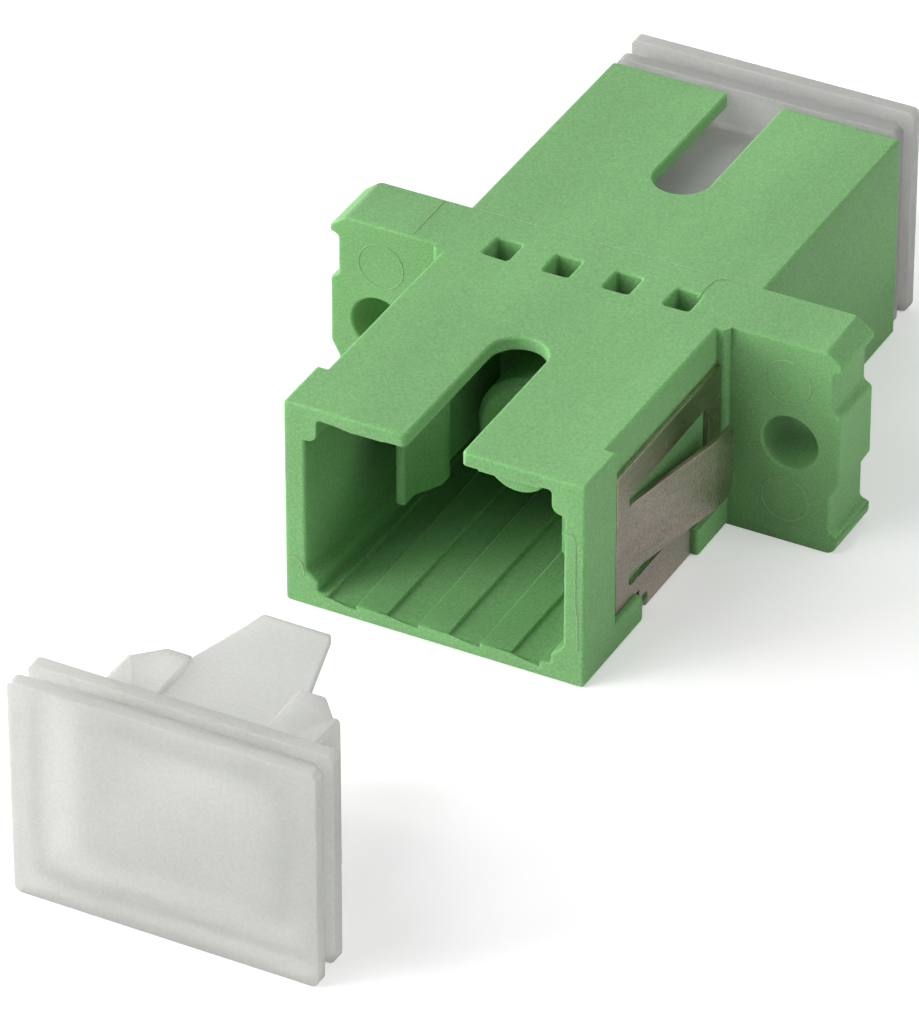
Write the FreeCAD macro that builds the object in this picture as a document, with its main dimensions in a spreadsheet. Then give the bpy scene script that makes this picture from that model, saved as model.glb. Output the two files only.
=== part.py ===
import FreeCAD, Part
import math
import os
import re

import Sketcher

# Simplex fibre adapter with a one-piece flanged housing, in millimetres.
# The origin is the middle of the alignment sleeve. +Y runs along the optical
# axis towards the rear port, +X is to the right and +Z is the keyed side.

DIMENSIONS = {
    # Housing
    "body_w": 12.7, "body_tall": 9.1, "body_len": 27.5,
    "flange_w": 22.0, "flange_thick": 2.9,
    "ear_corner_w": 0.65, "ear_corner_tall": 0.5, "ear_notch": 0.35,
    "ear_tip": 3.75, "ear_tip_root": 3.65, "ear_mid_root": 1.85, "ear_mid": 1.65,
    "ear_mid_low": 1.35, "ear_low_root": 2.0, "ear_foot_root": 3.6, "ear_foot": 3.7, "ear_foot_r": 0.5,
    "edge_round": 0.15, "edge_round_face": 0.12,
    "screw_pitch": 17.8, "screw_hole_r": 1.15, "screw_mouth": 0.08,
    # Ports
    "port_w": 10.9, "port_floor": 4.0, "port_ceiling": 4.0,
    "pad_w": 0.5, "pad_tall": 1.0, "pad_r": 0.4,
    "corner_rail_w": 0.5, "corner_rail_top": 2.95, "corner_rail_edge": 3.35, "corner_ledge_w": 0.45,
    "rail_w": 1.32, "rail_pitch": 2.64, "floor_rail": 0.15, "ceiling_rail": 0.1,
    "left_rail_in": 2.1, "left_rail_out": 3.35, "right_rail_in": 1.9, "right_rail_out": 4.44,
    "key_w": 2.35, "front_key_len": 8.0, "rear_key_len": 7.7, "key_mouth_r": 0.25,
    "bump_x": 3.45, "bump_w": 2.28, "bump_drop": 0.58, "bump_len": 0.8, "bump_inset": 0.15,
    # Seat of the latch holders and their snap windows
    "seat_w": 9.4, "seat_tall": 6.4,
    "window_w": 1.1, "window_len": 1.3, "window_pitch": 2.58, "window_mid": 0.6,
    # Side recess of the spring clip
    "recess_deep": 0.45, "lip_len": 2.6, "rear_rib": 0.35, "rib_round": 0.25,
    "ledge_top": 3.3, "ledge_rear": 8.7, "block_front": 4.05, "ledge_round": 0.3, "foot_round": 0.2,
    # Spring clip
    "sheet": 0.22, "strap_front": 7.9, "strap_rear": 4.15, "strap_bend_r": 0.3, "strap_top": 3.9,
    "plate_front": 10.6, "plate_rear": 1.85, "plate_top": 2.95, "plate_gap": 0.02,
    "heel_front": 8.6, "heel_low": 3.7, "heel_r": 0.2, "plate_foot": 4.1,
    "opening_front": 9.55, "opening_rear": 2.83, "opening_top": 1.52, "opening_rear_top": 1.68,
    "opening_low": 2.6, "slit_r": 0.28,
    "tongue_root": 9.25, "tongue_top": 1.1, "tongue_low": 2.03, "tongue_out": 0.96, "tongue_bend": 4.15,
    "tongue_tip": 2.85, "tongue_tip_out": 1.07, "tongue_tip_r": 0.7,
    # Latch holders
    "rim_w": 9.8, "rim_tall": 6.9, "rim_thick": 0.6, "rim_r": 0.3, "seat_gap": 0.05,
    "tube_r": 2.45, "tube_end": 5.65, "tube_bore_r": 1.68, "lip_bore_r": 1.45,
    "tube_mouth": 0.3, "arm_out": 3.75, "arm_thick": 0.55, "arm_tall": 3.6, "hook_tip": 9.75,
    "hook_tip_thick": 0.42, "hook_ramp": 8.9, "hook_land_x": 2.72, "hook_land": 7.82,
    "hook_face": 7.06, "tooth_w": 0.9, "tooth_rise": 0.5, "tooth_len": 0.5, "tooth_mid": 0.95,
    # Alignment sleeve
    "sleeve_r": 1.6, "sleeve_bore_r": 1.25, "sleeve_len": 10.5, "sleeve_slot": 0.5,
    # Dust caps
    "cap_w": 12.5, "cap_top": 4.85, "cap_low": 4.5, "cap_plate": 0.6, "cap_thick": 2.0,
    "cap_inner_inset": 0.06, "cap_neck_inset": 0.6, "cap_corner_r": 0.3, "neck_corner_r": 0.2,
    "cap_gap": 0.02, "cap_travel": 18.7,
    "plug_w": 8.76, "plug_tall": 6.6, "plug_wall": 0.75, "plug_deep": 3.3, "plug_r": 0.2, "hollow_r": 0.15,
    "wing_in": 2.2, "wing_out": 4.26, "wing_chamfer_x": 3.27, "wing_chamfer_y": 3.1,
    "wing_len": 4.3, "blade_top": 3.0, "blade_under": 2.55, "blade_root": 2.4,
    "blade_tip": 1.4, "blade_len": 8.15, "blade_step": 4.6,
}

doc = FreeCAD.newDocument("fibre_adapter")
sheet = doc.addObject("Spreadsheet::Sheet", "dims")
for row, (alias, number) in enumerate(DIMENSIONS.items(), start=1):
    sheet.set(f"A{row}", alias)
    sheet.set(f"B{row}", str(number))
    sheet.setAlias(f"B{row}", alias)
doc.recompute()


def cells(words):
    """Turn the bare names in a formula into references to the sheet's cells."""
    return re.sub(r"\b[a-z][a-z_]*\b(?!\()", lambda name: "dims." + name.group(), words)


def number(words):
    """Value of a formula in sheet names."""
    return float(sheet.evalExpression(cells(words)))


def minus(words):
    return f"-({words})"


def around(width):
    """Low and high ends of a stretch centred on zero."""
    return f"-({width}) / 2", f"({width}) / 2"


def along(end, near, far):
    """Low and high ends of a stretch measured from the middle towards one end."""
    return (near, far) if end > 0 else (minus(far), minus(near))


def new_body(label):
    body = doc.addObject("PartDesign::Body", label)
    body.Label = label
    return body


def block(body, name, x, y, z, cut=False):
    """Add or remove a box given by its low and high ends along each axis."""
    kind = "PartDesign::SubtractiveBox" if cut else "PartDesign::AdditiveBox"
    solid = body.newObject(kind, name)
    for side, axis, (low, high) in (("Length", "x", x), ("Width", "y", y), ("Height", "z", z)):
        solid.setExpression(side, cells(f"({high}) - ({low})"))
        solid.setExpression(f"Placement.Base.{axis}", cells(low))
    return solid


TURN_TO_Y = FreeCAD.Rotation(FreeCAD.Vector(1, 0, 0), -90)


def round_bar(body, name, radius, y, x="0", z="0", cut=False, far_radius=None):
    """Add or remove a cylinder, or a cone, whose axis runs along Y."""
    shape = "Cylinder" if far_radius is None else "Cone"
    solid = body.newObject(f"PartDesign::{'Subtractive' if cut else 'Additive'}{shape}", name)
    solid.Placement = FreeCAD.Placement(FreeCAD.Vector(0, 0, 0), TURN_TO_Y)
    if far_radius is None:
        solid.setExpression("Radius", cells(radius))
    else:
        solid.setExpression("Radius1", cells(radius))
        solid.setExpression("Radius2", cells(far_radius))
    low, high = y
    solid.setExpression("Height", cells(f"({high}) - ({low})"))
    for axis, words in (("x", x), ("y", low), ("z", z)):
        solid.setExpression(f"Placement.Base.{axis}", cells(words))
    return solid


def origin_part(body, role):
    return next(item for item in body.Origin.OriginFeatures if item.Role == role)


def new_sketch(body, name, plane, offset):
    """Sketch parallel to one of the body's own planes, moved along its normal."""
    sketch = body.newObject("Sketcher::SketchObject", name)
    sketch.AttachmentSupport = [(origin_part(body, f"{plane}_Plane"), "")]
    sketch.MapMode = "FlatFace"
    sketch.setExpression("AttachmentOffset.Base.z", cells(offset))
    return sketch


def fix_point(sketch, edge, point, words):
    """Bind the place of one end of a sketch edge to the sheet."""
    for kind, axis, formula in (("DistanceX", -2, words[0]), ("DistanceY", -1, words[1])):
        value = number(formula)
        if abs(value) < 1e-9:
            sketch.addConstraint(Sketcher.Constraint("PointOnObject", edge, point, axis))
        else:
            index = sketch.addConstraint(Sketcher.Constraint(kind, -1, 1, edge, point, value))
            sketch.setExpression(f"Constraints[{index}]", cells(formula))


def place_of(corner):
    return FreeCAD.Vector(number(corner[0]), number(corner[1]), 0)


def rounded_corner(corners, i):
    """Ends of the arc that rounds a square corner, and the middle point of that arc."""
    across, up, radius = corners[i]
    here = place_of(corners[i])
    ends = []
    inwards = FreeCAD.Vector(0, 0, 0)
    for neighbour in (corners[i - 1], corners[(i + 1) % len(corners)]):
        step = (place_of(neighbour) - here).normalize()
        ends.append((f"({across}) + ({round(step.x)}) * {radius}", f"({up}) + ({round(step.y)}) * {radius}"))
        inwards += step
    middle = here + inwards * number(radius) * (1 - math.sqrt(0.5))
    return ends, middle


def draw_outline(sketch, corners):
    """Close a loop whose corners are bound to the sheet.

    A corner is a pair of formulas, and a third formula is the radius that
    rounds it.
    """
    stops = []
    for i, corner in enumerate(corners):
        if len(corner) == 2:
            stops.append((corner, None, None))
        else:
            (start, end), middle = rounded_corner(corners, i)
            stops += [(start, middle, corner[2]), (end, None, None)]
    places = [place_of(words) for words, _, _ in stops]
    edges = []
    for i, (_, middle, _) in enumerate(stops):
        start, end = places[i], places[(i + 1) % len(stops)]
        ends = (1, 2)
        if middle is None:
            shape = Part.LineSegment(start, end)
        elif (middle - start).cross(end - middle).z > 0:
            shape = Part.Arc(start, middle, end)
        else:
            shape = Part.Arc(end, middle, start)
            ends = (2, 1)
        edges.append((sketch.addGeometry(shape), *ends))
    for i, (edge, _, end) in enumerate(edges):
        following, start, _ = edges[(i + 1) % len(edges)]
        sketch.addConstraint(Sketcher.Constraint("Coincident", edge, end, following, start))
    for (words, middle, radius), (edge, start, _) in zip(stops, edges):
        fix_point(sketch, edge, start, words)
        if middle is not None:
            index = sketch.addConstraint(Sketcher.Constraint("Radius", edge, number(radius)))
            sketch.setExpression(f"Constraints[{index}]", cells(radius))


def grow(body, name, sketch, length, cut):
    feature = body.newObject(f"PartDesign::{'Pocket' if cut else 'Pad'}", name)
    feature.Profile = sketch
    feature.Type = "Length"
    feature.setExpression("Length", cells(length))
    sketch.Visibility = False
    return feature


def prism(body, name, plane, span, corners, cut=False, hole=None):
    """Add or remove an outline over a span along the plane's normal.

    The XZ plane looks along -Y, so its offsets are turned round. A pocket
    starts at the far side of its span and a pad at the near side.
    """
    low, high = span
    if plane == "XZ":
        offset = minus(low) if cut else minus(high)
    else:
        offset = high if cut else low
    sketch = new_sketch(body, f"{name}_outline", plane, offset)
    draw_outline(sketch, corners)
    if hole:
        draw_outline(sketch, hole)
    return grow(body, name, sketch, f"({high}) - ({low})", cut)


def turned(body, name, corners, cut=False):
    """Add or remove a solid of revolution about Y, from its (y, radius) section."""
    sketch = new_sketch(body, f"{name}_section", "YZ", "0")
    draw_outline(sketch, corners)
    feature = body.newObject(f"PartDesign::{'Groove' if cut else 'Revolution'}", name)
    feature.Profile = sketch
    feature.ReferenceAxis = (origin_part(body, "Y_Axis"), [""])
    feature.Angle = 360
    sketch.Visibility = False
    return feature


def mirrored_outline(right):
    """Close a half outline, listed from its top to its bottom, with its mirror image."""
    return right + [(minus(corner[0]), *corner[1:]) for corner in reversed(right)]


def rounded_frame(width, low, high, radius):
    """Rectangle centred on X with four rounded corners."""
    half = f"({width}) / 2"
    return mirrored_outline([(half, high, radius), (half, low, radius)])


def row_of(body, name, feature, axis, pitch, count):
    """Repeat a feature at an even pitch along one of the body's own axes."""
    pattern = body.newObject("PartDesign::LinearPattern", name)
    pattern.Originals = [feature]
    pattern.Direction = (origin_part(body, axis), [""])
    pattern.Mode = "Spacing"
    pattern.setExpression("Offset", cells(pitch))
    pattern.Occurrences = count
    body.Tip = pattern
    return pattern


def round_edges(body, name, base, radius, chosen):
    """Fillet those edges of the last feature that a test picks out."""
    doc.recompute()
    names = [f"Edge{i}" for i, edge in enumerate(base.Shape.Edges, start=1) if chosen(edge)]
    if not names:
        raise ValueError(f"{name}: no edge to round")
    fillet = body.newObject("PartDesign::Fillet", name)
    fillet.Base = (base, names)
    fillet.setExpression("Radius", cells(radius))
    return fillet


def spans(edge, axis, shortest):
    """True for an edge along one axis, at least so long."""
    box = edge.BoundBox
    sizes = {"x": box.XLength, "y": box.YLength, "z": box.ZLength}
    across = sum(size for name, size in sizes.items() if name != axis)
    return sizes[axis] >= shortest and across < 1e-6


# ---------------------------------------------------------------- housing

def ear_outline():
    """Section of the flange: chamfered shoulders, and three tabs at each end."""
    half = "flange_w / 2"
    notch = f"{half} - ear_notch"
    top = "body_tall / 2"
    return mirrored_outline([
        (f"{half} - ear_corner_w", top), (half, f"{top} - ear_corner_tall"),
        (half, "ear_tip"), (notch, "ear_tip_root"), (notch, "ear_mid_root"), (half, "ear_mid"),
        (half, "-ear_mid_low"), (notch, "-ear_low_root"), (notch, "-ear_foot_root"), (half, "-ear_foot"),
        (half, minus(top), "ear_foot_r")])


def port_outline():
    """Section of a port: rounded pads in the upper corners, stepped rails in the
    lower ones, three guide rails on the floor and two on the ceiling."""
    wall = "port_w / 2"
    floor, rail_top = "-port_floor", "floor_rail - port_floor"
    ceiling, rail_low = "port_ceiling", "port_ceiling - ceiling_rail"
    pad = f"{wall} - pad_w"
    corner_rail = f"{wall} - corner_rail_w"
    ledge = f"{corner_rail} - corner_ledge_w"
    right = [(pad, ceiling), (pad, f"{ceiling} - pad_tall", "pad_r"), (wall, f"{ceiling} - pad_tall"),
             (wall, "-corner_rail_top"), (corner_rail, "-corner_rail_edge"), (corner_rail, rail_top),
             (ledge, rail_top), (ledge, floor)]
    low_steps = [("rail_pitch + rail_w / 2", floor), ("rail_pitch + rail_w / 2", rail_top),
                 ("rail_pitch - rail_w / 2", rail_top), ("rail_pitch - rail_w / 2", floor),
                 ("rail_w / 2", floor), ("rail_w / 2", rail_top)]
    roof = [("-left_rail_out", ceiling), ("-left_rail_out", rail_low), ("-left_rail_in", rail_low),
            ("-left_rail_in", ceiling), ("right_rail_in", ceiling), ("right_rail_in", rail_low),
            ("right_rail_out", rail_low), ("right_rail_out", ceiling)]
    return mirrored_outline(right + low_steps) + roof


def cut_port(body, end, tag):
    """One port: its railed cavity and the key slot through its roof."""
    prism(body, f"{tag}_cavity", "XZ", along(end, "flange_thick / 2", "body_len / 2"),
          port_outline(), cut=True)
    key_root = f"body_len / 2 - {tag}_key_len + key_w / 2"
    block(body, f"{tag}_key_slot", around("key_w"), along(end, key_root, "body_len / 2"),
          ("0", "body_tall / 2"), cut=True)
    key_end = body.newObject("PartDesign::SubtractiveCylinder", f"{tag}_key_end")
    key_end.setExpression("Radius", cells("key_w / 2"))
    key_end.setExpression("Height", cells("body_tall / 2"))
    key_end.setExpression("Placement.Base.y", cells(f"{end} * ({key_root})"))


def ceiling_bump(body):
    """Shallow round-bottomed stop under the front edge of the front port's roof."""
    front = "-body_len / 2 + bump_inset"
    sketch = new_sketch(body, "ceiling_bump_outline", "XZ", minus(f"{front} + bump_len"))
    left = ("bump_x - bump_w / 2", "port_ceiling")
    right = ("bump_x + bump_w / 2", "port_ceiling")
    low = ("bump_x", "port_ceiling - bump_drop")
    ends = [FreeCAD.Vector(number(across), number(up), 0) for across, up in (left, low, right)]
    sketch.addGeometry(Part.Arc(*ends))
    sketch.addGeometry(Part.LineSegment(ends[2], ends[0]))
    arc, chord = 0, 1
    start_is_left = sketch.Geometry[arc].StartPoint.x < ends[1].x
    left_end, right_end = (1, 2) if start_is_left else (2, 1)
    sketch.addConstraint(Sketcher.Constraint("Coincident", arc, right_end, chord, 1))
    sketch.addConstraint(Sketcher.Constraint("Coincident", arc, left_end, chord, 2))
    fix_point(sketch, chord, 1, right)
    fix_point(sketch, chord, 2, left)
    radius = "((bump_w / 2) * (bump_w / 2) + bump_drop * bump_drop) / (2 * bump_drop)"
    index = sketch.addConstraint(Sketcher.Constraint("Radius", arc, number(radius)))
    sketch.setExpression(f"Constraints[{index}]", cells(radius))
    grow(body, "ceiling_bump", sketch, "bump_len", cut=False)


def recess_outline():
    """Side recess between the front lip and the flange, with a ledge in front of
    the clip's strap and a block behind it."""
    front = "lip_len - body_len / 2"
    rear = "-flange_thick / 2 - rear_rib"
    over = "body_tall"
    return [(front, "-ledge_top"), ("-ledge_rear", "-ledge_top", "ledge_round"), ("-ledge_rear", minus(over)),
            ("-block_front", minus(over)), ("-block_front", "-ledge_top"), (rear, "-ledge_top"),
            (rear, over), (front, over)]


def make_housing():
    body = new_body("housing")
    block(body, "shell", around("body_w"), around("body_len"), around("body_tall"))
    prism(body, "flange", "XZ", around("flange_thick"), ear_outline())
    for end, tag in ((-1, "front"), (1, "rear")):
        cut_port(body, end, tag)
    ceiling_bump(body)
    block(body, "holder_seat", around("seat_w"), around("flange_thick"), around("seat_tall"), cut=True)

    # Four snap windows through the roof for the front holder's teeth, and four
    # through the floor for the rear holder's.
    first = "-1.5 * window_pitch"
    for side, tag in ((1, "roof"), (-1, "floor")):
        middle = f"{-side} * window_mid"
        window = block(body, f"{tag}_window", (f"{first} - window_w / 2", f"{first} + window_w / 2"),
                       (f"{middle} - window_len / 2", f"{middle} + window_len / 2"),
                       along(side, "seat_tall / 2 - seat_gap", "body_tall / 2"), cut=True)
        row_of(body, f"{tag}_windows", window, "X_Axis", "window_pitch", 4)

    front = "-flange_thick / 2"
    for side, tag in ((-1, "left"), (1, "right")):
        beyond = along(side, "body_w / 2 - recess_deep", "body_w / 2")
        prism(body, f"{tag}_recess", "YZ", beyond, recess_outline(), cut=True)
        place = f"{side} * screw_pitch / 2"
        round_bar(body, f"{tag}_screw_hole", "screw_hole_r", around("flange_thick"), x=place, cut=True)
        round_bar(body, f"{tag}_screw_mouth", "screw_hole_r + screw_mouth", (front, f"{front} + screw_mouth"),
                  x=place, cut=True, far_radius="screw_hole_r")
    last = block(body, "strap_recess", around("body_w"), ("-ledge_rear", "-block_front"),
                 ("-body_tall / 2", "-body_tall / 2 + sheet"), cut=True)

    half_w, half_tall = number("body_w / 2"), number("body_tall / 2")
    recessed = number("body_w / 2 - recess_deep")
    half_len = number("body_len / 2")
    rib_front = number("flange_thick / 2 + rear_rib")
    strap_ends = number("-ledge_rear"), number("-block_front")

    def at(value, *places):
        return any(abs(abs(value) - abs(place)) < 1e-6 for place in places)

    def long_corner(edge):
        box = edge.BoundBox
        return spans(edge, "y", 1.0) and at(box.ZMin, half_tall) and at(box.XMin, half_w, recessed)

    def rib_corner(edge):
        box = edge.BoundBox
        return spans(edge, "z", 2.0) and at(box.XMin, half_w) and at(box.YMin, rib_front)

    def strap_end(edge):
        box = edge.BoundBox
        return spans(edge, "x", 1.0) and at(box.ZMin, half_tall) and at(box.YMin, *strap_ends)

    def key_mouth(edge):
        box = edge.BoundBox
        return spans(edge, "z", 0.2) and at(box.XMin, number("key_w / 2")) and at(box.YMin, half_len)

    def face_rim(edge):
        box = edge.BoundBox
        on_skin = at(box.ZMin, half_tall) or at(box.XMin, half_w)
        return (spans(edge, "x", 0.5) or spans(edge, "z", 0.5)) and at(box.YMin, half_len) and on_skin

    last = round_edges(body, "key_mouths", last, "key_mouth_r", key_mouth)
    last = round_edges(body, "rib_corners", last, "rib_round", rib_corner)
    last = round_edges(body, "strap_ends", last, "foot_round", strap_end)
    last = round_edges(body, "long_edges", last, "edge_round", long_corner)
    round_edges(body, "face_rims", last, "edge_round_face", face_rim)
    return body


# ---------------------------------------------------------- latch holders

def arm_outline(side):
    """Plan of a latch arm: a straight spring with a ramped hook at its tip."""
    outer = "arm_out"
    inner = "arm_out - arm_thick"
    tip = "arm_out - hook_tip_thick"
    root = "-flange_thick / 2 - rim_thick / 2"
    points = [(outer, root), (outer, "-hook_tip"), (tip, "-hook_tip"), (tip, "-hook_ramp"),
              ("hook_land_x", "-hook_land"), ("hook_land_x", "-hook_face"), (inner, "-hook_face"),
              (inner, root)]
    return [(f"{side} * ({across})", along_y) for across, along_y in points]


def make_latch_holder(label):
    """Holder for the front port: rim, spigot with teeth, sleeve tube and two arms."""
    body = new_body(label)
    face = "-flange_thick / 2"
    spigot_top = "seat_tall / 2 - seat_gap"
    prism(body, "rim", "XZ", (f"{face} - rim_thick", face),
          rounded_frame("rim_w", "-rim_tall / 2", "rim_tall / 2", "rim_r"))
    prism(body, "spigot", "XZ", (face, "0"),
          rounded_frame("seat_w - 2 * seat_gap", minus(spigot_top), spigot_top, "rim_r"))
    turned(body, "tube", [("-tube_end", "0"), ("-tube_end", "tube_r - tube_mouth"),
                          ("-tube_end + tube_mouth", "tube_r"), ("0", "tube_r"), ("0", "0")])
    first = "-1.5 * window_pitch"
    tooth = block(body, "tooth", (f"{first} - tooth_w / 2", f"{first} + tooth_w / 2"),
                  ("-tooth_mid - tooth_len / 2", "-tooth_mid + tooth_len / 2"),
                  (spigot_top, f"{spigot_top} + tooth_rise"))
    row_of(body, "teeth", tooth, "X_Axis", "window_pitch", 4)
    for side, tag in ((-1, "left"), (1, "right")):
        prism(body, f"{tag}_arm", "XY", around("arm_tall"), arm_outline(side))
    lip = "-sleeve_len / 2"
    turned(body, "bore", [("-tube_end", "0"), ("-tube_end", "lip_bore_r + tube_mouth"),
                          ("-tube_end + tube_mouth", "lip_bore_r"), (lip, "lip_bore_r"),
                          (lip, "tube_bore_r"), ("0", "tube_bore_r"), ("0", "0")], cut=True)
    return body


def make_sleeve():
    """Zirconia tube, split along one side so that it grips both ferrules."""
    body = new_body("split_sleeve")
    round_bar(body, "sleeve_wall", "sleeve_r", around("sleeve_len"))
    round_bar(body, "bore", "sleeve_bore_r", around("sleeve_len"), cut=True)
    block(body, "split", around("sleeve_slot"), around("sleeve_len"), ("0", "sleeve_r"), cut=True)
    return body


# ------------------------------------------------------------ spring clip

def strap_outline():
    """Section of the strap that wraps the housing's underside: a shallow U."""
    inner = "body_w / 2 - recess_deep"
    outer = f"{inner} + sheet"
    foot = "-body_tall / 2"
    return mirrored_outline([(inner, f"{foot} + sheet"), (inner, "-strap_top"), (outer, "-strap_top"),
                             (outer, foot, "strap_bend_r")])


def plate_outline():
    """Side plate, with the heel that leads down to the strap."""
    low = "-ledge_top + plate_gap"
    return [("-plate_front", low), ("-heel_front", low), ("-heel_front", "-heel_low"),
            ("-strap_front", "-heel_low", "heel_r"), ("-strap_front", "-plate_foot"),
            ("-strap_rear", "-plate_foot"), ("-strap_rear", low), ("-plate_rear", low),
            ("-plate_rear", "plate_top"), ("-plate_front", "plate_top")]


def opening_outline():
    """Window left by the lanced tongue, with a round-ended slit under its root."""
    return [("-opening_front", "opening_top"), ("-opening_front", "tongue_top"),
            ("-tongue_root", "tongue_top"), ("-tongue_root", "-tongue_low"),
            ("-opening_front", "-tongue_low", "slit_r"),
            ("-opening_front", "-opening_low", "slit_r"), ("-opening_rear", "-opening_low"),
            ("-opening_rear", "opening_rear_top")]


def tongue_outline(side):
    """Plan of a tongue: flares out of the plate, and its tip turns back a little."""
    inner = "body_w / 2 - recess_deep"
    bend = f"{inner} + tongue_out"
    tip = f"{inner} + tongue_tip_out"
    points = [(inner, "-tongue_root"), (f"{inner} + sheet", "-tongue_root"),
              (f"{bend} + sheet", "-tongue_bend"), (f"{tip} + sheet", "-tongue_tip"),
              (tip, "-tongue_tip"), (bend, "-tongue_bend")]
    return [(f"{side} * ({across})", along_y) for across, along_y in points]


def make_clip():
    body = new_body("mounting_clip")
    inner = "body_w / 2 - recess_deep"
    prism(body, "strap", "XZ", ("-strap_front", "-strap_rear"), strap_outline())
    for side, tag in ((-1, "left"), (1, "right")):
        prism(body, f"{tag}_plate", "YZ", along(side, inner, f"{inner} + sheet"), plate_outline(),
              hole=opening_outline())
        last = prism(body, f"{tag}_tongue", "XY", ("-tongue_low", "tongue_top"), tongue_outline(side))
    tip_y, low = number("-tongue_tip"), number("-tongue_low")

    def tip_corner(edge):
        box = edge.BoundBox
        return spans(edge, "x", 0.1) and abs(box.YMin - tip_y) < 1e-6 and abs(box.ZMin - low) < 1e-6

    round_edges(body, "tip_corners", last, "tongue_tip_r", tip_corner)
    return body


# -------------------------------------------------------------- dust caps

def wing_outline(side):
    """Plan of a guide wing beside the blade, with its outer corner cut off."""
    points = [("wing_in", "0"), ("wing_out", "0"), ("wing_out", "wing_chamfer_y"),
              ("wing_chamfer_x", "wing_len"), ("wing_in", "wing_len")]
    return [(f"{side} * {across}", along_y) for across, along_y in points]


def blade_outline():
    """Plan of the long tapering blade between the wings."""
    right = [("blade_root", "0"), ("blade_root", "blade_step"), ("blade_tip", "blade_len")]
    return right + [(minus(across), along_y) for across, along_y in reversed(right)]


def plug_outline():
    """Section of the plug, with the channel above and below that holds the blades."""
    side, top = "plug_w / 2", "plug_tall / 2"
    right = [("wing_in", "blade_top"), ("wing_in", top), (side, top, "plug_r"),
             (side, minus(top), "plug_r"), ("wing_in", minus(top)), ("wing_in", "-blade_top")]
    return mirrored_outline(right)


def make_cap(label, base_y, about_face):
    """Dust cap: two thin plates with a finger groove, and a hollow two-bladed plug.

    Its own origin is where its inner plate meets the port, +Y into the port.
    """
    body = new_body(label)
    inset = "cap_inner_inset"
    prism(body, "outer_plate", "XZ", ("-cap_thick", "cap_plate - cap_thick"),
          rounded_frame("cap_w", "-cap_low", "cap_top", "cap_corner_r"))
    prism(body, "neck", "XZ", ("cap_plate - cap_thick", "-cap_plate"),
          rounded_frame("cap_w - 2 * cap_neck_inset", "-cap_low + cap_neck_inset",
                        "cap_top - cap_neck_inset", "neck_corner_r"))
    prism(body, "inner_plate", "XZ", ("-cap_plate", "0"),
          rounded_frame(f"cap_w - 2 * {inset}", f"-cap_low + {inset}", f"cap_top - 2 * {inset}",
                        "cap_corner_r"))
    prism(body, "plug", "XZ", ("0", "plug_deep"), plug_outline())
    for level, tag in ((1, "upper"), (-1, "lower")):
        prism(body, f"{tag}_blade", "XY", along(level, "blade_under", "blade_top"), blade_outline())
        for side, hand in ((-1, "left"), (1, "right")):
            prism(body, f"{tag}_{hand}_wing", "XY", along(level, "blade_under", "plug_tall / 2"),
                  wing_outline(side))
    prism(body, "plug_hollow", "XZ", ("-cap_plate / 2", "plug_deep"),
          rounded_frame("plug_w - 2 * plug_wall", "-blade_under", "blade_under", "hollow_r"), cut=True)
    if about_face:
        body.Placement = FreeCAD.Placement(FreeCAD.Vector(0, 0, 0),
                                           FreeCAD.Rotation(FreeCAD.Vector(0, 0, 1), 180))
    body.setExpression("Placement.Base.y", cells(base_y))
    return body


# --------------------------------------------------------------- assembly

housing = make_housing()
front_holder = make_latch_holder("front_latch_holder")
rear_holder = make_latch_holder("rear_latch_holder")
rear_holder.Placement = FreeCAD.Placement(FreeCAD.Vector(0, 0, 0),
                                          FreeCAD.Rotation(FreeCAD.Vector(1, 0, 0), 180))
sleeve = make_sleeve()
clip = make_clip()
front_cap = make_cap("front_dust_cap", "-body_len / 2 - cap_travel", about_face=False)
rear_cap = make_cap("rear_dust_cap", "body_len / 2 + cap_gap", about_face=True)
doc.recompute()

broken = [item.Name for item in doc.Objects if "Invalid" in item.State or "Error" in item.State]
if broken:
    raise RuntimeError(f"failed features: {broken}")

pieces = [housing, front_holder, rear_holder, sleeve, clip, front_cap, rear_cap]
for piece in pieces:
    if piece.Shape.isNull() or not piece.Shape.isValid() or len(piece.Shape.Solids) != 1:
        raise RuntimeError(f"{piece.Label} is not one valid solid")

os.makedirs("parts", exist_ok=True)
for piece in pieces:
    piece.Shape.exportStep(f"parts/{piece.Label}.step")
    size = piece.Shape.BoundBox
    print(f"{piece.Label}: {piece.Shape.Volume:.2f} mm3, "
          f"{size.XLength:.2f} x {size.YLength:.2f} x {size.ZLength:.2f} mm")
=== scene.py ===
import math

import bmesh
import bpy
from bpy.props import FloatProperty, FloatVectorProperty, PointerProperty
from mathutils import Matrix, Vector, kdtree


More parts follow.
